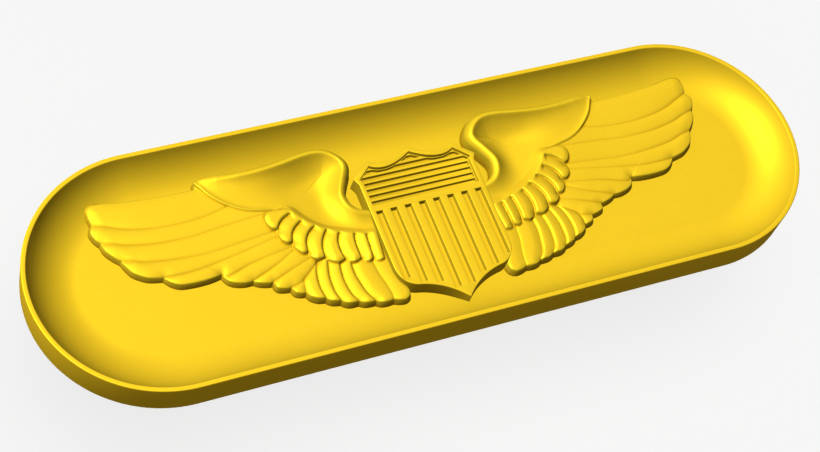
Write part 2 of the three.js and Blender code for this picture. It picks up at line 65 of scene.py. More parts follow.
PLATE_RADIUS = 14.715
HALF_STRAIGHT = 32.535
PLATE_HEIGHT = 4.14
SHEET = 0.4
FLOOR_TOP = 1.1
FLOOR_HALF_WIDTH = 8.8
COVE_RADIUS = 6.3
COVE_CENTRE = FLOOR_TOP + COVE_RADIUS
SHIELD_TOP = 3.02
CHIEF_FLOOR = 2.55
GROOVE_FLOOR = 2.1
SLOT_FLOOR = 2.27
BACK_THICKNESS = FLOOR_TOP - SHEET
BACK_GAP = 0.06  # between the back plate's edge and the skirt
BACK_RADIUS = PLATE_RADIUS - SHEET - BACK_GAP
SINK = 0.03  # how far the emblem's walls run on below the dish's surface
POSTS = {"left": (-30.0, 3.0), "centre": (0.0, -4.4), "right": (30.0, 3.0)}
RIVETS = {
    "left_wing_upper_rivet": (-17.0, 7.4),
    "left_wing_lower_rivet": (-11.5, -2.0),
    "shield_upper_rivet": (0.0, 5.0),
    "shield_lower_rivet": (0.0, -8.2),
    "right_wing_lower_rivet": (11.5, -2.0),
    "right_wing_upper_rivet": (17.0, 7.4),
}


# ---- camera, light and world

def place_object(name, data):
    """A new object for the data, in the scene."""
    made = bpy.data.objects.new(name, data)
    bpy.context.scene.collection.objects.link(made)
    return made


def camera_at(azimuth, elevation, roll, distance, target, lens):
    """A camera that looks at the target from the given side, turned about its own axis by roll."""
    az, el = math.radians(azimuth), math.radians(elevation)
    away = Vector((math.cos(el) * math.cos(az), math.cos(el) * math.sin(az), math.sin(el)))
    data = bpy.data.cameras.new("camera")
    data.lens = lens
    data.sensor_width = 36.0
    data.clip_start = 0.01
    data.clip_end = 60.0
    cam = place_object("camera", data)
    cam.rotation_mode = "QUATERNION"
    own_turn = Matrix.Rotation(math.radians(roll), 3, "Z").to_quaternion()
    cam.rotation_quaternion = away.to_track_quat("Z", "Y") @ own_turn
    cam.location = (Vector(target) + away * distance) * MM
    bpy.context.scene.camera = cam


camera_at(azimuth=230.03, elevation=57.38, roll=21.84, distance=213.0, target=(-3.08, -1.06, 2.0),
          lens=82.37)


def sun(name, toward, strength, softness, colour=(1, 1, 1)):
    """A sun lamp that shines from the given direction; softness is its angle in degrees."""
    data = bpy.data.lights.new(name, "SUN")
    data.energy = strength
    data.angle = math.radians(softness)
    data.color = colour
    lamp = place_object(name, data)
    lamp.rotation_mode = "QUATERNION"
    lamp.rotation_quaternion = Vector(toward).to_track_quat("Z", "Y")
    lamp.location = Vector(toward).normalized() * 0.4
    return lamp


key = sun("key_light", (-0.44, 0.26, 0.86), strength=3.85, softness=20)
# The back plate, posts, pegs and clutches cast the key light's shadows. They stand in the
# plate's own shade, so a second ring of light falls on them alone.
fittings = bpy.data.collections.new("fittings")
key.light_linking.blocker_collection = fittings


def light_ring(name, count, height, strength, softness, colour, receivers=None):
    """Even shadowless light from all round."""
    for step in range(count):
        turn = 2 * math.pi * step / count
        lamp = sun(f"{name}_{step}", (math.cos(turn), math.sin(turn), height), strength, softness, colour)
        lamp.data.use_shadow = False
        if receivers is not None:
            lamp.light_linking.receiver_collection = receivers


light_ring("ring_light", 8, -0.6, 0.19, 30, (1.0, 0.94, 0.4))
light_ring("under_light", 6, -0.25, 0.8, 60, (1.0, 1.0, 1.0), fittings)

world = bpy.data.worlds.new("studio")
bpy.context.scene.world = world
world.use_nodes = True
background = world.node_tree.nodes["Background"]
background.inputs["Color"].default_value = (1.0, 0.99, 0.97, 1)
background.inputs["Strength"].default_value = 0.06
bpy.context.scene.view_settings.view_transform = "Standard"
bpy.context.scene.view_settings.gamma = 0.8
bpy.context.scene.cycles.max_bounces = 0


# ---- materials

def tree_of(name):
    material = bpy.data.materials.new(name)
    material.use_nodes = True
    nodes, links = material.node_tree.nodes, material.node_tree.links
    return material, nodes, links, nodes["Principled BSDF"]


def add(nodes, kind, **inputs):
    node = nodes.new(kind)
    for name, value in inputs.items():
        if hasattr(node, name):
            setattr(node, name, value)
        else:
            node.inputs[name].default_value = value
    return node


def mix(nodes, links, factor, a, b):
    """A colour mix; each of a and b is a colour or a socket."""
    node = nodes.new("ShaderNodeMix")
    node.data_type = "RGBA"
    links.new(factor, node.inputs[0])
    for socket, value in ((node.inputs[6], a), (node.inputs[7], b)):
        if isinstance(value, bpy.types.NodeSocket):
            links.new(value, socket)
        else:
            socket.default_value = (*value, 1)
    return node.outputs[2]


def ramp(nodes, links, source, span, result):
    """A smooth step from result[0] to result[1] as the source crosses the span."""
    node = nodes.new("ShaderNodeMapRange")
    node.clamp = True
    node.interpolation_type = "SMOOTHSTEP"
    links.new(source, node.inputs["Value"])
    for end, place, value in (("Min", span[0], result[0]), ("Max", span[1], result[1])):
        node.inputs[f"From {end}"].default_value = place
        node.inputs[f"To {end}"].default_value = value
    return node.outputs["Result"]


PER_MM = 1 / MM
RELIEF = 0.03 * MM  # full height of the grain and the scratches


def metal(name, bright, deep, tarnish, rough, metallic, grain, lay):
    """Plated metal: clouds of tone, a satin grain, fine scratches along lay, recesses that are
    a little darker and crests that are rubbed smooth."""
    material, nodes, links, shader = tree_of(name)
    place = nodes.new("ShaderNodeTexCoord").outputs["Object"]
    scaled = add(nodes, "ShaderNodeMapping", Scale=(PER_MM, PER_MM, PER_MM))
    links.new(place, scaled.inputs["Vector"])
    along = add(nodes, "ShaderNodeMapping", Scale=tuple(PER_MM * s for s in lay))
    links.new(place, along.inputs["Vector"])

    def noise(vector, scale, detail=2.0, roughness=0.5):
        node = add(nodes, "ShaderNodeTexNoise", Scale=scale, Detail=detail, Roughness=roughness)
        links.new(vector.outputs["Vector"], node.inputs["Vector"])
        return node.outputs["Fac"]

    clouds = noise(scaled, 0.16, 3.0)
    speckle = noise(scaled, 6.0, 4.0, 0.7)
    fine = noise(scaled, grain, 2.0, 0.6)
    scratches = noise(along, 5.0, 3.0, 0.65)
    wear = add(nodes, "ShaderNodeAttribute", attribute_name="wear").outputs["Fac"]

    rubbed = tuple(min(1, c * 1.08) for c in bright)
    layers = [
        (clouds, (0.35, 0.65), 0.22, deep),
        (speckle, (0.52, 0.75), 0.14, deep),
        (wear, (-0.15, -1.0), 0.75, tarnish),
        (wear, (0.2, 1.0), 0.4, rubbed),
    ]
    tone = bright
    for source, span, share, colour in layers:
        tone = mix(nodes, links, ramp(nodes, links, source, span, (0.0, share)), tone, colour)
    links.new(tone, shader.inputs["Base Color"])
    shader.inputs["Metallic"].default_value = metallic
    shader.inputs["Specular Tint"].default_value = (*bright, 1)

    satin = ramp(nodes, links, speckle, (0.3, 0.7), (rough - 0.05, rough + 0.06))
    polish = ramp(nodes, links, wear, (0.1, 1.0), (0.0, -0.1))
    total = nodes.new("ShaderNodeMath")
    total.operation = "ADD"
    links.new(satin, total.inputs[0])
    links.new(polish, total.inputs[1])
    links.new(total.outputs[0], shader.inputs["Roughness"])

    bump = add(nodes, "ShaderNodeBump", Strength=0.16, Distance=RELIEF)
    links.new(fine, bump.inputs["Height"])
    lines = add(nodes, "ShaderNodeBump", Strength=0.07, Distance=RELIEF)
    links.new(scratches, lines.inputs["Height"])
    links.new(bump.outputs["Normal"], lines.inputs["Normal"])
    links.new(lines.outputs["Normal"], shader.inputs["Normal"])
    return material


# Each metal's bright tone, deep tone and tarnish, then its roughness, how metallic it is, how
# fine its grain is and the lay of its scratches.
LOOKS = {
    "satin_gold": [(1, 0.72, 0.044), (0.97, 0.68, 0.038), (0.8, 0.47, 0.01), 0.55, 0.25, 11, (0.12, 1, 1)],
    "back_gold": [(0.83, 0.57, 0.12), (0.72, 0.46, 0.08), (0.42, 0.25, 0.05), 0.42, 0.85, 8, (0.05, 1, 1)],
    "plated_post": [(0.74, 0.73, 0.7), (0.62, 0.61, 0.58), (0.3, 0.28, 0.25), 0.26, 1, 9, (1, 1, 0.1)],
    "spring_brass": [(0.86, 0.66, 0.27), (0.74, 0.52, 0.17), (0.42, 0.27, 0.08), 0.3, 1, 9, (0.15, 1, 1)],
}
METALS = {name: metal(name, *look) for name, look in LOOKS.items()}


def floor_material():
    material, nodes, links, shader = tree_of("pale_floor")
    place = nodes.new("ShaderNodeTexCoord").outputs["Object"]
    cloud = add(nodes, "ShaderNodeTexNoise", Scale=14.0, Detail=2.0)
    links.new(place, cloud.inputs["Vector"])
    tone = mix(nodes, links, cloud.outputs["Fac"], (0.147, 0.147, 0.147), (0.150, 0.150, 0.149))
    links.new(tone, shader.inputs["Base Color"])
    shader.inputs["Roughness"].default_value = 0.9
    shader.inputs["Specular IOR Level"].default_value = 0.1
    return material


# ---- mesh helpers

class Shape:
    """Vertices and faces in millimetres, gathered before they become one mesh."""

    def __init__(self, verts=(), faces=(), wear=()):
        self.verts, self.faces, self.wear = list(verts), list(faces), list(wear)

    def mesh(self, name):
        mesh = bpy.data.meshes.new(name)
        mesh.from_pydata([(x * MM, y * MM, z * MM) for x, y, z in self.verts], [], self.faces)
        mesh.shade_smooth()
        return mesh

    def make(self, name, slot, body, node, sharp_angle=None):
        """Makes the piece, puts it under its body, hides the CAD node it stands for and gives that node its
        metal.
        """
        mesh = self.mesh(name)
        if self.wear:
            attribute = mesh.attributes.new("wear", "FLOAT", "POINT")
            attribute.data.foreach_set("value", np.asarray(self.wear, np.float32))
        mesh.validate()
        if sharp_angle is not None:
            mesh.set_sharp_from_angle(angle=math.radians(sharp_angle))
        for data in (mesh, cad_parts[node].data):
            data.materials.clear()
            data.materials.append(METALS[slot])
        piece = place_object(name, mesh)
        if slot != "satin_gold":
            fittings.objects.link(piece)
        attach(piece, body)
        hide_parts(node)

    def add(self, points, wear=0.0):
        """Adds points; wear is +1 on a rubbed edge and -1 in a tarnished recess."""
        start = len(self.verts)
        self.verts.extend(tuple(map(float, p)) for p in points)
        self.wear.extend([wear] * (len(self.verts) - start))
        return list(range(start, len(self.verts)))

    def bridge(self, lower, upper):
        """A band of quads between two closed rings of the same length."""
        n = len(lower)
        for i in range(n):
            j = (i + 1) % n
            self.faces.append((lower[i], lower[j], upper[j], upper[i]))

    def cap(self, ring, holes=(), flip=False):
        """Fills a flat ring, leaving the given inner rings open."""
        rings = [ring, *holes]
        flat = [[Vector(self.verts[i]) for i in r] for r in rings]
        index = [i for r in rings for i in r]
        for a, b, c in tessellate_polygon(flat):
            face = (index[a], index[b], index[c])
            p, q, r = (Vector(self.verts[i]) for i in face)
            up = (q - p).cross(r - p).z > 0
            self.faces.append(face if up != flip else face[::-1])

    def steps(self, outline, profile, wear=()):
        """Rings of an outline at a list of (inset, height), joined one to the next. A height of
        None follows the dish just below its surface."""
        rings = []
        for k, (inset, z) in enumerate(profile):
            flat = offset(outline, inset)
            level = dish_height(flat[:, 0], flat[:, 1]) - SINK if z is None else np.full(len(flat), z)
            rings.append(self.add(np.column_stack([flat, level]), wear[k] if k < len(wear) else 0.0))
        for low, high in zip(rings, rings[1:]):
            self.bridge(low, high)
        return rings

    def pocket(self, outline, top, floor, lip, fillet, holes=()):
        """A sunk field with a rounded lip; returns the ring that the face around it leaves open."""
        edge = [(-inset, z) for inset, z in reversed(corner(lip, top))]
        profile = edge + [(0, floor + fillet), (fillet * 0.3, floor + fillet * 0.3), (fillet, floor)]
        rings = self.steps(outline, profile, [0.3] + [0.8] * (len(edge) - 1) + [-0.3, -0.7, -0.5])
        self.cap(rings[-1], holes)
        return rings[0]

    def turned(self, profile, segments, wear, centre=(0, 0)):
        """A closed turned body: a list of (radius, height) from one end of the axis to the other,
        or a closed loop of them."""
        cx, cy = centre
        angles = [2 * math.pi * k / segments for k in range(segments)]
        rings = []
        for k, (radius, z) in enumerate(profile):
            spots = angles if radius > 1e-9 else [0.0]
            points = [(cx + radius * math.cos(a), cy + radius * math.sin(a), z) for a in spots]
            rings.append(self.add(points, wear[k] if k < len(wear) else 0.0))
        pairs = list(zip(rings, rings[1:]))
        if len(rings[0]) > 1:
            pairs.append((rings[-1], rings[0]))
        for low, high in pairs:
            if len(low) == 1:
                self.faces += [(low[0], high[(k + 1) % segments], high[k]) for k in range(segments)]
            elif len(high) == 1:
                self.faces += [(low[k], low[(k + 1) % segments], high[0]) for k in range(segments)]
            else:
                self.bridge(low, high)


def rounded(profile, radius, steps):
    """A profile with each corner turned into a short curve of the radius, or of the point's own
    third value where it has one."""
    out = []
    count = len(profile)
    for i, point in enumerate(profile):
        r = point[2] if len(point) > 2 else radius
        here = np.array(point[:2], float)
        if i in (0, count - 1) or r <= 0:
            out.append(tuple(here))
            continue
        back = np.array(profile[i - 1][:2], float) - here
        ahead = np.array(profile[i + 1][:2], float) - here
        lb, la = np.hypot(*back), np.hypot(*ahead)
        cut = min(r, lb * 0.45, la * 0.45)
        start, end = here + back / lb * cut, here + ahead / la * cut
        for k in range(steps + 1):
            t = k / steps
            out.append(tuple((1 - t) ** 2 * start + 2 * t * (1 - t) * here + t * t * end))
    return out


def corner(radius, top, steps=3):
    """A rounded upper edge as (inset, height), from the wall to the face."""
    turns = [math.pi / 2 * k / steps for k in range(steps + 1)]
    return [(radius * (1 - math.cos(a)), top - radius * (1 - math.sin(a))) for a in turns]


def offset(outline, inset):
    """A counter-clockwise outline drawn in by the inset, or out where it is negative."""
    p = np.asarray(outline, float)
    before, after = p - np.roll(p, 1, axis=0), np.roll(p, -1, axis=0) - p
    normals = []
    for edge in (before, after):
        edge = edge / np.maximum(np.hypot(*edge.T), 1e-9)[:, None]
        normals.append(np.column_stack([-edge[:, 1], edge[:, 0]]))
    total = normals[0] + normals[1]
    share = np.maximum(1 + (normals[0] * normals[1]).sum(1), 0.3)
    return p + inset * total / share[:, None]


def rectangle(x, y):
    """A counter-clockwise outline from its span in x and its span in y."""
    return np.array([(x[0], y[0]), (x[1], y[0]), (x[1], y[1]), (x[0], y[1])], float)


def circle(radius, centre=(0, 0), segments=48):
    turns = np.arange(segments) * 2 * math.pi / segments
    return np.column_stack([centre[0] + radius * np.cos(turns), centre[1] + radius * np.sin(turns)])


def stadium_ring(radius, z, segments=72):
    """One level of the plate's outline, counter-clockwise from above, with so many segments in
    each round end."""
    points = []
    for side, first in ((1, -90), (-1, 90)):
        for k in range(segments + 1):
            a = math.radians(first + 180 * k / segments)
            points.append((side * HALF_STRAIGHT + radius * math.cos(a), radius * math.sin(a), z))
    return points


def cove(distance, radius=COVE_RADIUS):
    """Height of the dish at a distance from its long axis, floor included."""
    across = np.clip(np.asarray(distance, float) - FLOOR_HALF_WIDTH, 0, radius * 0.98)
    return COVE_CENTRE - np.sqrt(radius * radius - across * across)


def dish_height(x, y):
    """Height of the dish's surface at a place on the plate."""
    beyond = np.maximum(np.abs(x) - HALF_STRAIGHT, 0)
    return cove(np.hypot(beyond, y))


# ---- curves and fields

RUN = 16  # line pieces that are measured together


def spline(points, closed=False, step=0.12):
    """A centripetal Catmull-Rom curve through the points, as short straight steps."""
    p = np.asarray(points, float)
    if closed:
        p = np.vstack([p[-1], p, p[0], p[1]])
    else:
        p = np.vstack([2 * p[0] - p[1], p, 2 * p[-1] - p[-2]])
    out = []
    for a, b, c, d in zip(p, p[1:], p[2:], p[3:]):
        t = np.cumsum([0] + [max(np.hypot(*(q - r)), 1e-6) ** 0.5 for q, r in ((b, a), (c, b), (d, c))])
        n = max(2, int(math.ceil(np.hypot(*(c - b)) / step)))
        s = np.linspace(t[1], t[2], n, endpoint=False)[:, None]

        def part_way(i, j, start, end):
            return (t[j] - s) / (t[j] - t[i]) * start + (s - t[i]) / (t[j] - t[i]) * end

        a1, a2, a3 = part_way(0, 1, a, b), part_way(1, 2, b, c), part_way(2, 3, c, d)
        out.append(part_way(1, 2, part_way(0, 2, a1, a2), part_way(1, 3, a2, a3)))
    curve = np.vstack(out)
    return curve if closed else np.vstack([curve, p[-2]])


def nearest(points, line, closed=False, reach=4.0):
    """For each point within reach: its distance to the line, its side of it (+1 to the left of
    travel), and how far along the line the nearest place is, from 0 to 1."""
    b = np.roll(line, -1, axis=0) if closed else line[1:]
    a = line if closed else line[:-1]
    length = np.hypot(*(b - a).T)
    start = np.concatenate([[0], np.cumsum(length)])
    best = np.full(len(points), float(reach))
    side = np.ones(len(points))
    along = np.zeros(len(points))
    for first in range(0, len(a), RUN):
        chunk = slice(first, first + RUN)
        low = np.minimum(a[chunk].min(0), b[chunk].min(0)) - reach
        high = np.maximum(a[chunk].max(0), b[chunk].max(0)) + reach
        near = np.nonzero(((points > low) & (points < high)).all(1))[0]
        if not len(near):
            continue
        some = points[near]
        for i in range(first, min(first + RUN, len(a))):
            if length[i] < 1e-9:
                continue
            d = (b[i] - a[i]) / length[i]
            rel = some - a[i]
            t = np.clip(rel @ d, 0, length[i])
            dist = np.hypot(rel[:, 0] - t * d[0], rel[:, 1] - t * d[1])
            closer = dist < best[near] - 1e-9
            hit = near[closer]
            best[hit] = dist[closer]
            side[hit] = np.sign(d[0] * rel[closer, 1] - d[1] * rel[closer, 0])
            along[hit] = (start[i] + t[closer]) / start[-1]
    return best, side, along


def inside(points, polygon):
    """Whether each point is inside the polygon."""
    x, y = points[:, 0], points[:, 1]
    state = np.zeros(len(points), bool)
    for (x0, y0), (x1, y1) in zip(polygon, np.roll(polygon, -1, axis=0)):
        if y0 == y1:
            continue
        crosses = (y0 > y) != (y1 > y)
        state ^= crosses & (x < x0 + (y - y0) * (x1 - x0) / (y1 - y0))
    return state


def depth_inside(points, polygon, reach=1.6):
    """Distance to the polygon's edge, up to the reach, positive inside."""
    return nearest(points, polygon, True, reach)[0] * np.where(inside(points, polygon), 1, -1)


def ease(low, high, value):
    """A smooth step from 0 at low to 1 at high."""
    t = np.clip((value - low) / (high - low), 0, 1)
    return t * t * (3 - 2 * t)


# ---- the wings' layout

# Everything is [out, up]: out is the distance from the pin's centre line. A feather is its tip,
# the notch beside it, and the crease from that notch back to the root. The primaries run from
# the leading edge down, and the secondaries from there to the shield.
LEADING_EDGE = [[25.3, 9.62], [28, 9.65], [31, 9.8], [34, 10.1], [36, 10.4], [37, 10.4]]
PRIMARIES = [
    ([[37.6, 10], [37.75, 9]], [37.6, 8.1],
     [[36, 7.4], [34.5, 6.75], [33, 6.3], [31, 5.95], [29, 5.8], [27, 5.8], [25, 6], [23, 6.4], [20, 7.2]]),
    ([[38, 7.2], [37.75, 6.2]], [37.3, 5.55],
     [[36, 5.2], [34.5, 4.65], [33, 4.3], [31, 4], [29, 3.9], [27, 3.9], [25, 4.1], [23, 4.3], [17, 4.7]]),
    ([[37.1, 4.6], [36.6, 3.8]], [35.8, 2.9],
     [[34.5, 2.6], [33, 2.1], [31, 1.75], [29, 1.55], [27, 1.45], [25, 1.5], [23, 1.7], [17, 2.3]]),
    ([[35.4, 1.9], [35, 1.2], [34.3, 0.6], [33.5, 0.15]], [31.95, -0.2],
     [[30.5, -0.3], [29, -0.3], [27.5, -0.2], [26, 0], [24.5, 0.25], [23, 0.5], [16.5, 1.8]]),
    ([[31.3, -1], [30.5, -1.5], [29, -1.7], [27, -1.65]], [25.7, -1.42],
     [[25.2, -1.8], [22, -1], [17.1, -0.2], [15, 0.2]]),
    ([[25.2, -2.4], [24.5, -2.85], [23.5, -3.1]], [22.6, -3.1], [[19, -1.7], [17, -0.6], [15, 0.4]]),
    ([[22, -3.5], [21, -3.8]], [20.5, -3.8], [[18, -2.9], [15.7, -2.1], [14, -1.4]]),
    ([[20.3, -4.6], [19.6, -4.9]], [18.8, -5], [[17.4, -4.6], [15.2, -2.9], [14, -2]]),
    ([[18.5, -5.7], [18, -5.95]], [17.4, -6.02],
     [[17.3, -5.1], [17.1, -4.4], [16.1, -3.6], [15, -2.7], [14.2, -1.9]]),
]
SECONDARIES = [
    ([[17.1, -6.6], [16.4, -7.1]], [15.55, -7.28],
     [[15.72, -6.4], [15.75, -5.4], [15.6, -4.3], [15.3, -3.3], [14.8, -2.4]]),
    ([[15.1, -7.7], [14.6, -7.9]], [14, -8],
     [[14.3, -7.1], [14.38, -5.95], [14.3, -4.8], [14.05, -3.7], [13.8, -2.8]]),
    ([[13.55, -8.4], [13, -8.6]], [12.1, -8.6],
     [[12.6, -7.65], [12.84, -6.3], [12.84, -5], [12.7, -4], [12.3, -2.6]]),
    ([[11.5, -8.95], [10.9, -9.05]], [10.25, -9.05],
     [[10.9, -7.9], [11.23, -6.5], [11.4, -5.4], [11.4, -4.4], [11.2, -3.3], [11, -2.5]]),
    ([[9.7, -9.4], [9, -9.5]], [8.25, -9.42],
     [[8.3, -8.5], [8.5, -7.3], [8.8, -6], [8.95, -4.7], [9, -3]]),
]
LAST_TIP = [[7.5, -9.7], [6.8, -9.75], [6.3, -9.4], [6.1, -8.8]]
UNDER_SHIELD = [[6.2, -8.4], [6.6, -7.5], [6.88, -6.2], [6.9, 1.4]]

# The short covert feathers over the flight feathers' roots, and the line of their own roots.
COVERTS = [
    ([[18.6, 4.5], [19.05, 4], [19.1, 3.2], [18.65, 2.35]], [18.02, 2.1],
     [[17.5, 2.85], [16.85, 3.35], [15.9, 3.75]]),
    ([[18.27, 1.5], [18.12, 0.7], [17.55, 0.15]], [16.9, 0.2], [[16.65, 1.1], [16.05, 1.85], [15, 2.55]]),
    ([[17, -0.3], [16.82, -0.9], [16.3, -1.5]], [15.65, -1.5],
     [[15.45, -0.25], [14.85, 0.75], [13.7, 1.6]]),
    ([[15.65, -1.95], [15, -2.65]], [13.98, -2.6], [[13.9, -1.35], [13.45, -0.25], [12.55, 0.9]]),
    ([[13.7, -3.05], [12.85, -3.62]], [11.85, -3.4], [[12.05, -2.3], [11.95, -1.1], [11.4, 0.2]]),
    ([[11.55, -3.75], [10.95, -4.02]], [10.02, -3.75], [[10.1, -2.7], [10, -1.3], [9.75, -0.3]]),
    ([[9.8, -4.15], [9.3, -4.33]], [8.72, -4.1], [[8.66, -2.95], [8.56, -1.6], [8.55, -0.7]]),
    ([[8.55, -4.4], [8.1, -4.55]], [7.4, -4.4], [[7.2, -3.4], [7, -2], [7, -0.7]]),
]
COVERT_ROOTS = [[6.8, 1.5], [9.5, 1.8], [11.5, 2.6], [13, 3.8], [14, 5.2], [15.6, 5], [17, 4.6]]

# The shoulder's crest, from its outer tip along the top and down the curl beside the shield.
# The third number is the crest's height.
CREST = [
    [24.9, 10.1, 2.2], [23.8, 10.05, 2.5], [22.7, 9.9, 2.72], [20.3, 9.6, 3], [17.4, 9.55, 3.2],
    [14.8, 9.8, 3.3], [12.4, 10.15, 3.32], [10.95, 10.2, 3.32], [9.85, 9.95, 3.3], [8.95, 9.3, 3.28],
    [8.45, 8.65, 3.25], [8.25, 8.1, 3.22], [8.35, 7.5, 3.2], [9.05, 6.15, 3.18], [9.75, 4.6, 3.15],
    [9.8, 3.85, 3.1], [9.45, 2.7, 3], [8.65, 1.85, 2.88], [7.2, 1.35, 2.75], [6.6, 1.25, 2.7],
]
# The outline that the crest stands inside, and the shoulder's lower edge over the feathers.
SHOULDER_BASE = [
    [25.3, 9.75], [25.25, 10.2], [24.9, 10.45], [22.7, 10.5], [20.3, 10.22], [17.4, 10.2], [14.8, 10.45],
    [12.4, 10.82], [10.9, 10.93], [9.5, 10.7], [8.35, 9.95], [7.68, 9], [7.45, 8.2], [7.55, 7.35],
    [8.35, 5.9], [9.08, 4.4], [9.12, 3.85], [8.88, 2.95], [8.3, 2.3], [7.4, 1.85], [6.9, 1.72],
]
SHOULDER_LOWER = [
    [25.35, 10.5], [25.15, 10], [24.75, 9.3], [24.1, 8.2], [23.1, 7.1], [21.7, 6], [20.25, 5.3],
    [18.5, 4.9], [17, 4.7], [15.8, 4.4], [14.8, 3], [13.8, 1.9], [12.6, 1], [11.3, 0.4], [9.7, -0.2],
    [8.6, -0.6], [6.6, -0.7],
]


def notched(feathers, last=()):
    """The outline past a row of feathers: a smooth curve round each tip, sharp at each notch."""
    start, out = None, []
    for tip, notch, _ in feathers:
        knots = ([start] if start is not None else []) + list(tip) + [notch]
        out.append(spline(knots)[:-1])
        start = notch
    if last:
        out.append(spline([start, *last]))
    return np.vstack(out)


WING_OUTLINE = np.vstack([
    spline([*LEADING_EDGE, *PRIMARIES[0][0]])[:-1],
    notched([([PRIMARIES[0][0][-1]], PRIMARIES[0][1], None), *PRIMARIES[1:], *SECONDARIES], LAST_TIP),
    np.array(UNDER_SHIELD),
    spline(list(reversed(SHOULDER_BASE))),
])
WING_CREASES = [spline([notch, *crease]) for _, notch, crease in PRIMARIES + SECONDARIES]
COVERT_REGION = np.vstack([
    spline([[16.2, 4.55], [17.2, 4.6], [18.1, 4.62], *COVERTS[0][0], COVERTS[0][1]])[:-1],
    notched(COVERTS[1:]),
    np.array(COVERT_ROOTS),
])
COVERT_CREASES = [spline([notch, *crease]) for _, notch, crease in COVERTS]
CREST_LINE = spline([p[:2] for p in CREST])
LOWER_LINE = spline(SHOULDER_LOWER)
# The region runs out past the wing on its other sides, where the outline cuts it off.
SHOULDER_REGION = np.vstack([LOWER_LINE, [[5, -0.7], [5, 12], [25.6, 12]]])

FLIGHT_TOP = 2.12
FLIGHT_RISE = 0.1  # how much higher the flight feathers are at their roots
COVERT_TOP = 2.66
SHOULDER_FLOOR = 2.17
CREST_FOOT = 1.9  # where the crest's outer side ends
CREST_SIDE = 1.1  # how far outside the crest that is
ROLL = 0.22  # half width of the crest's rounded top
FIRM_SECONDARIES = 4  # the rest, beside the shield, are softer
DRAFT = 0.23  # how far the struck walls lean out between their top edge and the dish


def rising_edge(distance, reach, depth):
    """How far a strip that tucks under its neighbour is below its own crest."""
    return depth * (1 - np.clip(distance / reach, 0, 1)) ** 1.6


def rounded_drop(distance, reach, depth):
    """How far a round-shouldered strip falls away towards a groove at its edge."""
    t = 1 - np.clip(distance / reach, 0, 1)
    return depth * (1 - np.sqrt(1 - 0.98 * t * t))


def crest_height(along):
    """The crest's height at a share of its length."""
    xy = np.array([p[:2] for p in CREST])
    steps = np.concatenate([[0], np.cumsum(np.hypot(*np.diff(xy, axis=0).T))])
    return np.interp(along, steps / steps[-1], [p[2] for p in CREST])


def flight_height(p):
    """The flight feathers: convex strips that droop at their tips, parted by creases."""
    edge = np.maximum(depth_inside(p, WING_OUTLINE), 0)
    z = FLIGHT_TOP + FLIGHT_RISE * ease(26, 18, p[:, 0])
    outer_part = ease(16.3, 17.6, p[:, 0])
    z -= outer_part * 0.17 * np.clip(1 - edge / 1.4, 0, 1) ** 2
    z -= (1 - outer_part) * 0.1 * np.clip(1 - edge / 0.55, 0, 1) ** 2
    for i, line in enumerate(WING_CREASES):
        d, side, along = nearest(p, line)
        if i < len(PRIMARIES):
            depth = 1.25 - 0.6 * ease(0, 0.6, along)
            outer = 0.13 * np.exp(-d / 0.8) + 0.06 * np.exp(-d / 0.12)
            inner = 0.19 * np.exp(-d / 0.38)
        else:
            soft = i >= len(PRIMARIES) + FIRM_SECONDARIES
            depth = 0.6 if soft else 1.0
            outer = rounded_drop(d, 1.2 if soft else 0.36, 0.21)
            inner = rising_edge(d, 1.1, 0.21)
        z -= depth * ease(1.0, 0.96, along) * np.where(side > 0, inner, outer)
    return z - 0.06 * np.clip(1 - edge / 0.08, 0, 1) ** 2


def covert_height(p, edge):
    """The coverts: short strongly convex feathers with narrow grooves between them."""
    z = COVERT_TOP - 0.2 * np.clip(1 - edge / 0.8, 0, 1) ** 2 - rounded_drop(edge, 0.22, 0.1)
    for line in COVERT_CREASES:
        d, side, along = nearest(p, line)
        drop = np.where(side > 0, rising_edge(d, 1.15, 0.36), rounded_drop(d, 0.34, 0.36))
        z -= ease(1.0, 0.85, along) * drop
    return z


def hollow(p, centre, size, depth):
    """A smooth round dip."""
    return depth * np.exp(-(((p - centre) / size) ** 2).sum(1))


def shoulder_height(p):
    """The shoulder: a shallow dish under a rolled crest that curls round beside the shield."""
    d, side, along = nearest(p, CREST_LINE, reach=14)
    inward_of_crest = np.where(side > 0, d, -d)
    top = crest_height(along)
    curl = ease(0.33, 0.6, along)
    floor = SHOULDER_FLOOR - 0.1 * ease(19.5, 13.5, p[:, 0])
    floor -= hollow(p, (13.2, 7.4), (3.4, 2.4), 0.48) + hollow(p, (11.2, 4.6), (1.8, 2.4), 0.3)
    past_roll = np.sqrt(np.clip(inward_of_crest, 0, None) ** 2 + ROLL ** 2) - ROLL
    steep, gentle = np.exp(-past_roll / 0.55), np.exp(-(past_roll / (1.9 - 0.4 * curl)) ** 2)
    share = 0.6 * steep + 0.4 * gentle
    z = floor + (top - floor) * share
    lip = nearest(p, LOWER_LINE)[0]
    z += 0.15 * np.exp(-(lip / 0.35) ** 2) * ease(17.0, 19.0, p[:, 0])
    z += 0.12 * np.exp(-(lip / 0.8) ** 2) * ease(19.0, 16.0, p[:, 0]) * (1 - share)
    outside = np.clip(-inward_of_crest / CREST_SIDE, 0, 1)
    return z - (top - CREST_FOOT) * outside ** 2


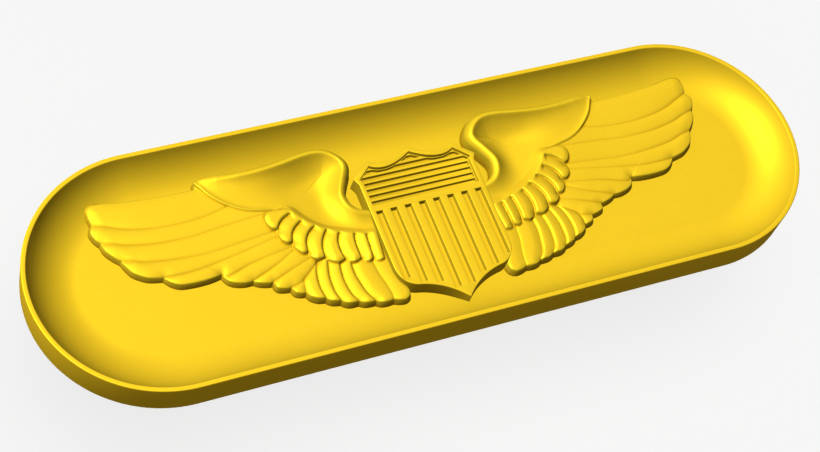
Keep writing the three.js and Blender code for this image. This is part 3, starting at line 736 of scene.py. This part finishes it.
def wing_height(p):
    """The whole wing: coverts over the flight feathers, the shoulder over both, and the walls."""
    z = flight_height(p)
    covert_edge = depth_inside(p, COVERT_REGION)
    z = z + (covert_height(p, np.maximum(covert_edge, 0)) - z) * ease(-0.06, 0.1, covert_edge)
    shoulder_edge = nearest(p, LOWER_LINE)[0] * np.where(inside(p, SHOULDER_REGION), 1, -1)
    width = 0.1 + 0.4 * ease(18.0, 16.0, p[:, 0])
    z = z + (shoulder_height(p) - z) * ease(-1, 1, shoulder_edge / width)
    outside = np.clip(-depth_inside(p, WING_OUTLINE) / DRAFT, 0, 1)
    return z + (dish_height(p[:, 0], p[:, 1]) - z) * outside


# ---- relief as a mesh

def relief(outline, height, pitch):
    """A closed body over the outline: a fine grid for its struck face and leaning walls, cut
    cleanly where they meet the dish, and a flat underside. Returns the vertices, the faces and
    the number of vertices that show."""
    margin = DRAFT + 1.5 * pitch
    low, high = outline.min(0) - margin, outline.max(0) + margin
    xs = np.arange(low[0], high[0] + pitch, pitch)
    ys = np.arange(low[1], high[1] + pitch, pitch)
    gx, gy = np.meshgrid(xs, ys, indexing="ij")
    nodes = np.column_stack([gx.ravel(), gy.ravel()])
    deep = (depth_inside(nodes, outline) + DRAFT).reshape(gx.shape)
    deep[np.abs(deep) < 1e-6] = 1e-6  # so that no cut lands on a grid point
    index = -np.ones(gx.shape, int)
    solid = deep > 0
    index[solid] = np.arange(solid.sum())
    points = np.column_stack([gx[solid], gy[solid]])
    count = len(points)
    cuts, extra = {}, []

    def cut(i, j, k, m):
        nonlocal count
        key = (i, j, k, m) if (i, j) < (k, m) else (k, m, i, j)
        if key not in cuts:
            a, b = deep[i, j], deep[k, m]
            t = a / (a - b)
            extra.append((gx[i, j] + t * (gx[k, m] - gx[i, j]), gy[i, j] + t * (gy[k, m] - gy[i, j])))
            cuts[key] = count
            count += 1
        return cuts[key]

    whole = solid[:-1, :-1] & solid[1:, :-1] & solid[1:, 1:] & solid[:-1, 1:]
    i, j = np.nonzero(whole)
    faces = np.column_stack([index[i, j], index[i + 1, j], index[i + 1, j + 1], index[i, j + 1]]).tolist()
    some = (solid[:-1, :-1] | solid[1:, :-1] | solid[1:, 1:] | solid[:-1, 1:]) & ~whole
    follows = {}
    for i, j in zip(*np.nonzero(some)):
        corners = [(i, j), (i + 1, j), (i + 1, j + 1), (i, j + 1)]
        ring = []
        for a, b in zip(corners, corners[1:] + corners[:1]):
            if solid[a]:
                ring.append((index[a], False))
            if solid[a] != solid[b]:
                ring.append((cut(*a, *b), True))
        faces.append([v for v, _ in ring])
        for (v, on), (w, on_next) in zip(ring, ring[1:] + ring[:1]):
            if on and on_next:
                follows[v] = w
    flat = np.vstack([points, np.array(extra)])
    verts = [(x, y, z) for (x, y), z in zip(flat, height(flat))]

    start = next(iter(follows))
    loop = [start]
    while follows[loop[-1]] != start:
        loop.append(follows[loop[-1]])
    if len(loop) != len(follows):
        raise RuntimeError(f"the outline's edge has {len(follows)} cuts but its loop has {len(loop)}")
    bottom = {v: len(verts) + k for k, v in enumerate(loop)}
    base = flat[loop]
    verts += [(x, y, z) for (x, y), z in zip(base, dish_height(base[:, 0], base[:, 1]) - SINK)]
    for a, b in zip(loop, loop[1:] + loop[:1]):
        faces.append((b, a, bottom[a], bottom[b]))
    faces.append([bottom[v] for v in reversed(loop)])
    return np.array(verts), faces, len(flat)


SMOOTHING = 6  # rounds of averaging with the neighbours
FULL_WEAR = 0.03  # a point this far above the average is rubbed all the way


def crest_wear(verts, faces, shown):
    """How far each point stands above (+) or below (-) the surface around it."""
    z = verts[:, 2]
    small = [f for f in faces if len(f) <= 6]  # all but the underside
    edges = np.array([(a, b) for f in small for a, b in zip(f, [*f[1:], f[0]])])
    smooth = z.copy()
    for _ in range(SMOOTHING):
        total, weight = np.zeros(len(verts)), np.zeros(len(verts))
        for here, there in (edges.T, edges.T[::-1]):
            np.add.at(total, here, smooth[there])
            np.add.at(weight, here, 1)
        smooth = np.where(weight > 0, total / np.maximum(weight, 1), smooth)
    wear = np.clip((z - smooth) / FULL_WEAR, -1, 1)
    wear[shown:] = 0
    return wear


PITCH = 0.078
wing_verts, wing_faces, wing_shown = relief(WING_OUTLINE, wing_height, PITCH)
wing_wear = crest_wear(wing_verts, wing_faces, wing_shown)
for name, side in (("left", -1), ("right", 1)):
    verts = wing_verts * (side, 1, 1)
    faces = wing_faces if side > 0 else [list(reversed(f)) for f in wing_faces]
    wing = Shape(verts, faces, wing_wear)
    wing.make(f"{name}_wing_relief", "satin_gold", "badge", f"{name}_wing")

# ---- dish

def make_dish():
    shape = Shape()
    rim_inside = FLOOR_HALF_WIDTH + math.sqrt(COVE_RADIUS ** 2 - (COVE_CENTRE - PLATE_HEIGHT) ** 2)
    skirt = PLATE_RADIUS - SHEET
    inner = [(d, float(cove(d))) for d in np.linspace(rim_inside, FLOOR_HALF_WIDTH, 40)]
    outer = [(d, float(cove(d, COVE_RADIUS + SHEET))) for d in np.linspace(FLOOR_HALF_WIDTH, skirt, 24)]
    edge = rounded([
        outer[-1], (skirt, 0, 0.05), (PLATE_RADIUS, 0, 0.12), (PLATE_RADIUS, PLATE_HEIGHT, 0.12),
        (rim_inside, PLATE_HEIGHT, 0.07), inner[1],
    ], 0.08, 4)
    profile = outer[:-1] + edge + inner[2:]
    rings = [shape.add(stadium_ring(radius, z)) for radius, z in profile]
    for low, high in zip(rings, rings[1:]):
        shape.bridge(low, high)
    shape.cap(rings[-1])
    shape.cap(rings[0], flip=True)
    shape.make("dish", "satin_gold", "badge", "dish_tray", 50)


make_dish()

# ---- shield

GROOVES = [2.28 + 0.8 * i for i in range(7)]  # lower edges
GROOVE_WIDTH = 0.48
TOP_GROOVE_HALF = 3  # the highest groove is only as long as the middle point is wide
GROOVE_END = 0.09  # each groove stops this short of the field's wall
STRIPE_PITCH = 1.77
STRIPE_WIDTH = 0.85
STRIPE_TOP = 1.2
STRIPE_BOTTOMS = [-10.2, -9.1, -8.6, -7.7]
WALL_FOOT = 0.35  # how far below the top the shield's wall starts to lean out


def bend(start, pull, end, steps=14):
    """A quadratic curve, without its last point."""
    a, b, c = (np.array(p, float) for p in (start, pull, end))
    return [tuple((1 - t) ** 2 * a + 2 * t * (1 - t) * b + t * t * c) for t in np.arange(steps) / steps]


def mirrored(right_half):
    """A closed outline from its right half, which starts and ends on the centre line."""
    return np.array(right_half + [(-x, y) for x, y in reversed(right_half) if x > 1e-9])


def clip(outline, axis, sign, level):
    """The part of an outline on one side of a line square to an axis."""
    out = []
    for p, q in zip(outline, np.roll(outline, -1, axis=0)):
        a, b = sign * (p[axis] - level), sign * (q[axis] - level)
        if a >= 0:
            out.append(p)
        if a * b < 0:
            out.append(p + (q - p) * a / (a - b))
    thin = [p for p, q in zip(out, out[1:] + out[:1]) if np.hypot(*(p - q)) > 0.04]
    return np.array(thin)


def between(outline, axis, low, high):
    return clip(clip(outline, axis, 1, low), axis, -1, high)


def shield_outline():
    right = bend((0, -11.8), (2.2, -9.3), (5.3, -8.8)) + bend((5.3, -8.8), (7.1, -8.2), (7.2, -6), 10)
    right += [(7.2, -6), (7.21, -3), (7.22, 0), (7.24, 3), (7.25, 5), (7.65, 5.8)]
    return mirrored(right + bend((5.3, 7.8), (3.35, 6.25), (0, 8.5)) + [(0, 8.5)])


def chief_outline():
    right = [(0, 2.05), (3, 2.05), (6.67, 2.05), (6.67, 5.2), (6.95, 5.6)]
    return mirrored(right + bend((5.3, 7.1), (3.35, 5.75), (0, 7.85)) + [(0, 7.85)])


def make_shield():
    shape = Shape()
    edge = corner(0.09, SHIELD_TOP, 4)
    profile = [(-0.07, None), (0, SHIELD_TOP - WALL_FOOT)] + edge
    walls = shape.steps(shield_outline(), profile, [-0.6, 0.0] + [0.6] * len(edge))
    field = offset(chief_outline(), GROOVE_END)
    grooves = []
    for low in GROOVES:
        room = between(field, 0, -TOP_GROOVE_HALF, TOP_GROOVE_HALF) if low == GROOVES[-1] else field
        room = between(room, 1, low, low + GROOVE_WIDTH)
        grooves.append(shape.pocket(room, CHIEF_FLOOR, GROOVE_FLOOR, 0.035, 0.03))
    holes = [shape.pocket(chief_outline(), SHIELD_TOP, CHIEF_FLOOR, 0.06, 0.03, grooves)]
    for i, low in enumerate(STRIPE_BOTTOMS):
        for side in (-1, 1):
            middle = side * (i + 0.5) * STRIPE_PITCH
            slot = rectangle((middle - STRIPE_WIDTH / 2, middle + STRIPE_WIDTH / 2), (low, STRIPE_TOP))
            holes.append(shape.pocket(slot, SHIELD_TOP, SLOT_FLOOR, 0.06, 0.05))
    shape.cap(walls[-1], holes)
    shape.cap(walls[0], flip=True)
    shape.make("shield_relief", "satin_gold", "badge", "shield", 40)


make_shield()

# ---- back plate, pegs and posts

BORDER = 0.9  # a pressed line runs this far inside the back plate's edge
# Each bore is (radius, height) from the rear face up, with a seat for the peg's head or the
# post's flange.
RIVET_BORE = [(1.3, 0), (1.26, 0.04), (1.26, 0.34), (0.56, 0.34), (0.56, BACK_THICKNESS)]
POST_BORE = [(0.72, 0), (0.66, 0.06), (0.66, 0.36), (1.46, 0.36), (1.46, BACK_THICKNESS)]
BORE_WEAR = [0.8, 0.6, -0.8, 0, 0]


def make_back_plate():
    shape = Shape()
    line = BACK_RADIUS - BORDER
    profile = [
        (line - 0.5, 0), (line - 0.42, 0.02), (line - 0.3, 0.07), (line - 0.12, 0.07), (line, 0.02),
        (line + 0.08, 0), (BACK_RADIUS - 0.12, 0), (BACK_RADIUS - 0.04, 0.04), (BACK_RADIUS, 0.12),
        (BACK_RADIUS, BACK_THICKNESS - 0.05), (BACK_RADIUS - 0.05, BACK_THICKNESS),
    ]
    wear = [0, 0.3, -0.8, -0.8, 0.3, 0, 0.3, 0.8, 0.5, 0, 0]
    rings = [shape.add(stadium_ring(radius, z), worn) for (radius, z), worn in zip(profile, wear)]
    for low, high in zip(rings, rings[1:]):
        shape.bridge(low, high)
    below, above = [], []
    bores = [(place, RIVET_BORE) for place in RIVETS.values()]
    bores += [(place, POST_BORE) for place in POSTS.values()]
    for place, bore in bores:
        levels = []
        for (radius, z), worn in zip(bore, BORE_WEAR):
            ring = circle(radius, place)
            levels.append(shape.add(np.column_stack([ring, np.full(len(ring), z)]), worn))
        for low, high in zip(levels, levels[1:]):
            shape.bridge(high, low)
        below.append(levels[0])
        above.append(levels[-1])
    shape.cap(rings[0], below, flip=True)
    shape.cap(rings[-1], above)
    shape.make("back_plate_finish", "back_gold", "badge", "back_plate", 40)


def make_rivets():
    """The pegs: a dished head in the back plate, and a shank up into the emblem."""
    head = [(0, 0.05), (0.55, 0.04), (0.62, 0.02), (1.06, 0.02), (1.15, 0.05), (1.2, 0.12), (1.2, 0.3),
            (1.18, 0.32)]
    shank = [(0.5, 0.32), (0.5, 1.55), (0.42, 1.65), (0, 1.65)]
    for name, place in RIVETS.items():
        shape = Shape()
        shape.turned(head + shank, 48, [0, -0.6, 0.3, 0.3, 0.8, 0.5], place)
        shape.make(f"{name}_finish", "back_gold", "badge", name, 40)


POST_RADIUS = 0.6
POST_NECK = 0.45
POST_LENGTH = 7.4


def at_level(level, profile):
    """A profile whose heights are counted from the level."""
    return [(radius, level + z) for radius, z in profile]


def make_posts():
    """The posts: a point, a locking neck, a plain length and a flange under the dish."""
    point = at_level(-POST_LENGTH, [
        (0, 0), (0.05, 0.02), (0.12, 0.14), (0.3, 0.6), (POST_NECK, 1), (0.55, 1.18), (POST_RADIUS, 1.32),
        (POST_RADIUS, 1.62), (0.57, 1.72), (0.47, 1.86), (POST_NECK, 1.95), (POST_NECK, 2.25),
        (0.47, 2.34), (0.57, 2.46), (POST_RADIUS, 2.56),
    ])
    flange = [(POST_RADIUS, 0.38), (1.36, 0.38), (1.4, 0.42), (1.4, 0.64), (1.36, 0.68), (0, 0.68)]
    wear = [0.8, 0.8, 0.5, 0.2, 0.2, 0.2, 0.5, 0.5, 0.2, -0.4, -0.7, -0.7, -0.4]
    for where, place in POSTS.items():
        shape = Shape()
        shape.turned(point + flange, 40, wear, place)
        shape.make(f"{where}_post_finish", "plated_post", "badge", f"{where}_post", 35)


make_back_plate()
make_rivets()
make_posts()

# ---- butterfly clutches

DISC_TOP = -2.15
DISC_LOW = -2.65
CAP_TOP = DISC_LOW - 0.02
CAP_LOW = CAP_TOP - 1.9
CAP_RADIUS = 3.6
CAP_WALL = 0.4
BORE_RADIUS = 0.8  # through the disc and the cap
NOTCH_HALF = 1.6
NOTCH_START = 1.9
NOTCH_TOP = -3.12
EAR_SHEET = 0.4
EAR_NECK = 1.2  # half width
EAR_HALF_WIDTH = 2.5
EAR_SLOPE = math.radians(28)
LEAF_LENGTH = 4.3
LEAF_START = 4.2  # how far along the bent sheet the leaf begins
JAW_LENGTH = 1.5
JAW_GAP = 0.15  # each jaw's least distance from the post's axis
POST_ROOM = POST_RADIUS + 0.08
RIBS = [LEAF_START + 1.35 + 0.5 * k for k in range(5)]
RIB_HEIGHT = 0.07
RIB_WIDTH = 0.13


def disc_shape():
    """A flat disc with a rolled edge and a pressed ring outside the cap."""
    shape = Shape()
    bore = BORE_RADIUS
    below = at_level(DISC_LOW, [
        (bore + 0.04, 0), (3.9, 0), (4.1, -0.02), (4.3, -0.1), (4.5, -0.12), (4.7, -0.1), (4.9, -0.02),
        (5.1, 0), (5.45, 0.02), (5.62, 0.1), (5.7, 0.22),
    ])
    above = at_level(DISC_TOP, [
        (5.68, -0.12), (5.58, -0.02), (5.4, 0), (4.9, 0), (4.7, -0.05), (4.5, -0.09), (4.3, -0.05),
        (4.1, 0), (bore + 0.04, 0), (bore, -0.04),
    ])
    wear = [0, 0, -0.3, 0.4, 0.8, 0.4, -0.3, 0, 0.2, 0.7, 0.7, 0.7, 0.5, 0, 0, -0.4, -0.6, -0.4]
    shape.turned(below + above + [(bore, DISC_LOW + 0.04)], 96, wear)
    return shape


def cap_shape():
    """The cap before its notches are cut: a round cup, open towards the disc."""
    shape = Shape()
    bore, outer, low = BORE_RADIUS, CAP_RADIUS, CAP_LOW
    inner, floor = outer - CAP_WALL, low + CAP_WALL
    profile = [
        (bore + 0.04, low), (outer - 0.42, low), (outer - 0.24, low + 0.05), (outer - 0.09, low + 0.17),
        (outer - 0.01, low + 0.36), (outer, low + 0.5), (outer, CAP_TOP - 0.05), (outer - 0.04, CAP_TOP),
        (inner + 0.04, CAP_TOP), (inner, CAP_TOP - 0.04), (inner, floor + 0.25),
        (inner - 0.07, floor + 0.07), (inner - 0.25, floor), (bore + 0.04, floor), (bore, floor - 0.04),
        (bore, low + 0.04),
    ]
    shape.turned(profile, 96, [0.4, 0.1, 0.6, 0.8, 0.6, 0.1, 0.3, 0.4])
    return shape


def notch_cutter():
    """Both side notches of a cap, as one mesh of two bars."""
    shape = Shape()
    for side in (-1, 1):
        span = sorted((side * NOTCH_START, side * (CAP_RADIUS + 1)))
        bar = rectangle(span, (-NOTCH_HALF, NOTCH_HALF))
        rings = shape.steps(bar, [(0, CAP_LOW - 1), (0, NOTCH_TOP)])
        shape.cap(rings[0], flip=True)
        shape.cap(rings[1])
    return shape


def cut_cap():
    """The cap with its notches cut and their edges broken."""
    cap = place_object("cap_blank", cap_shape().mesh("cap_blank"))
    cutter = place_object("cap_cutter", notch_cutter().mesh("cap_cutter"))
    cut = cap.modifiers.new("notches", "BOOLEAN")
    cut.object = cutter
    cut.operation = "DIFFERENCE"
    cut.solver = "EXACT"
    soften = cap.modifiers.new("broken_edges", "BEVEL")
    soften.width = 0.04 * MM
    soften.segments = 2
    soften.limit_method = "ANGLE"
    soften.angle_limit = math.radians(50)
    soften.use_clamp_overlap = True
    bpy.context.view_layer.update()
    baked = bpy.data.meshes.new_from_object(cap.evaluated_get(bpy.context.evaluated_depsgraph_get()))
    for scratch in (cap, cutter):
        bpy.data.objects.remove(scratch)
    verts = [tuple(c / MM for c in v.co) for v in baked.vertices]
    return Shape(verts, [tuple(p.vertices) for p in baked.polygons])


def ear_path():
    """The middle of the ear's bent sheet, from the jaw to the leaf's end, in X and Z."""
    jaw = CAP_TOP - 0.6 - EAR_SHEET / 2
    x, z = CAP_RADIUS - CAP_WALL + 0.05, CAP_LOW  # the knee, where the sheet leaves the cap
    end = (x + LEAF_LENGTH * math.sin(EAR_SLOPE), z - LEAF_LENGTH * math.cos(EAR_SLOPE))
    return spline([(0.0, jaw), (0.8, jaw), (1.6, jaw), (2.3, jaw), (2.75, jaw - 0.12), (3.0, jaw - 0.45),
                   (x - 0.1, z + 0.1), (x + 0.35, z - 0.75), (x + 1.1, z - 2.1), end], step=0.1)


def ear_section(half):
    """The sheet's cross-section with rounded sides, as places across it and out from its middle."""
    thick = EAR_SHEET / 2
    rim = min(thick, half)
    flat = np.linspace(-1, 1, 17) * (half - rim)
    turns = np.linspace(math.pi / 2, -math.pi / 2, 8)[1:-1]
    side = [(half - rim + rim * math.cos(a), thick * math.sin(a)) for a in turns]
    return ([(y, thick) for y in flat] + side
            + [(y, -thick) for y in flat[::-1]] + [(-y, -h) for y, h in side])


def ear_shape():
    """A butterfly ear: a jaw notched for the post, a bent neck and a ribbed leaf."""
    path = ear_path()
    gone = np.concatenate([[0], np.cumsum(np.hypot(*np.diff(path, axis=0).T))])
    total = gone[-1]

    def on_path(s):
        return np.array([np.interp(s, gone, path[:, 0]), np.interp(s, gone, path[:, 1])])

    tip_start = 0.985  # the last share of the length has closer stations, for the round tip
    body = np.linspace(0, tip_start, 110)
    tip = 1 - (1 - tip_start) * (1 - np.linspace(0.1, 1, 9)) ** 2
    shape = Shape()
    rings = []
    for s in np.concatenate([body, tip]) * total:
        width = EAR_NECK + (EAR_HALF_WIDTH - EAR_NECK) * ease(LEAF_START - 0.2, LEAF_START + 0.9, s)
        roundness = math.sqrt(max(1 - (1 - min((total - s) / 1.7, 1)) ** 2, 0.0))
        half = max(width * roundness ** 0.8, 0.08)
        ribs = RIB_HEIGHT * sum(math.exp(-((s - rib) / RIB_WIDTH) ** 2) for rib in RIBS)
        ribs *= ease(total - 0.6, total - 1.1, s)
        ring = []
        for y, h in ear_section(half):
            past_post = max(JAW_GAP, math.sqrt(max(POST_ROOM ** 2 - y * y, 0.0)))
            here = s + past_post * max(1 - s / JAW_LENGTH, 0)
            x, z = on_path(here)
            ahead = min(here + 0.05, total)
            dx, dz = on_path(ahead) - on_path(ahead - 0.1)
            out = (h + ribs * max(0.0, 1 - (y / max(half - 0.35, 0.1)) ** 8)) / math.hypot(dx, dz)
            ring.append((x - dz * out, y, z + dx * out))
        rings.append(shape.add(ring, 0.5 if ribs > 0.03 else 0.0))
    for low, high in zip(rings, rings[1:]):
        shape.bridge(low, high)
    shape.faces.append(tuple(reversed(rings[0])))
    shape.faces.append(tuple(rings[-1]))
    return shape


def make_clutches():
    disc, cap, ear = disc_shape(), cut_cap(), ear_shape()
    # Each piece's name, body, node, shape, side and sharp angle.
    kinds = [
        ("disc", "clutch", "clutch_disc", disc, 1, 40),
        ("cap", "clutch", "clutch_cap", cap, 1, 40),
        ("ear_a", "ear_a", "clutch_ear_a", ear, 1, 50),
        ("ear_b", "ear_b", "clutch_ear_b", ear, -1, 50),
    ]
    for where, (x, y) in POSTS.items():
        for name, body, node, shape, side, sharp_angle in kinds:
            verts = [(x + side * vx, y + side * vy, vz) for vx, vy, vz in shape.verts]
            Shape(verts, shape.faces, shape.wear).make(
                f"{where}_{name}_finish", "spring_brass", f"{where}_{body}", f"{where}_{node}", sharp_angle)


make_clutches()

# ---- floor and its light

CLUTCH_TRAVEL = 7.0
FLAT_FLOOR = 1200  # beyond this the floor turns gently up, so that it has no horizon
FLOOR_EDGE = 14000
FLOOR_CURVE = 0.000022


def make_floor():
    """A wide bowl that lies below the clutches even when they have slid off their posts."""
    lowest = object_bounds()[0][2] / MM - CLUTCH_TRAVEL - 0.3
    shape = Shape()
    rings = []
    for radius in [400, *np.linspace(FLAT_FLOOR, FLOOR_EDGE, 40)]:
        level = lowest + FLOOR_CURVE * max(radius - FLAT_FLOOR, 0) ** 2
        rings.append(shape.add(np.column_stack([circle(radius, segments=96), np.full(96, level)])))
    for low, high in zip(rings, rings[1:]):
        shape.bridge(high, low)
    shape.cap(rings[0])
    floor = place_object("floor", shape.mesh("floor"))
    floor.data.materials.append(floor_material())
    floor.visible_diffuse = False
    floor.visible_glossy = False
    floor.visible_shadow = False
    floor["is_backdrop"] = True
    return floor


def light_floor(floor):
    """Lights the floor by its own shadowless lamp, and keeps the key light off it."""
    lamp = sun("floor_light", (0, 0, 1), strength=19.3, softness=60)
    lamp.data.use_shadow = False
    only_floor = bpy.data.collections.new("lit_by_floor_light")
    only_floor.objects.link(floor)
    lamp.light_linking.receiver_collection = only_floor
    all_but_floor = bpy.data.collections.new("lit_by_key")
    all_but_floor.objects.link(floor)
    all_but_floor.collection_objects[0].light_linking.link_state = "EXCLUDE"
    key.light_linking.receiver_collection = all_but_floor


light_floor(make_floor())
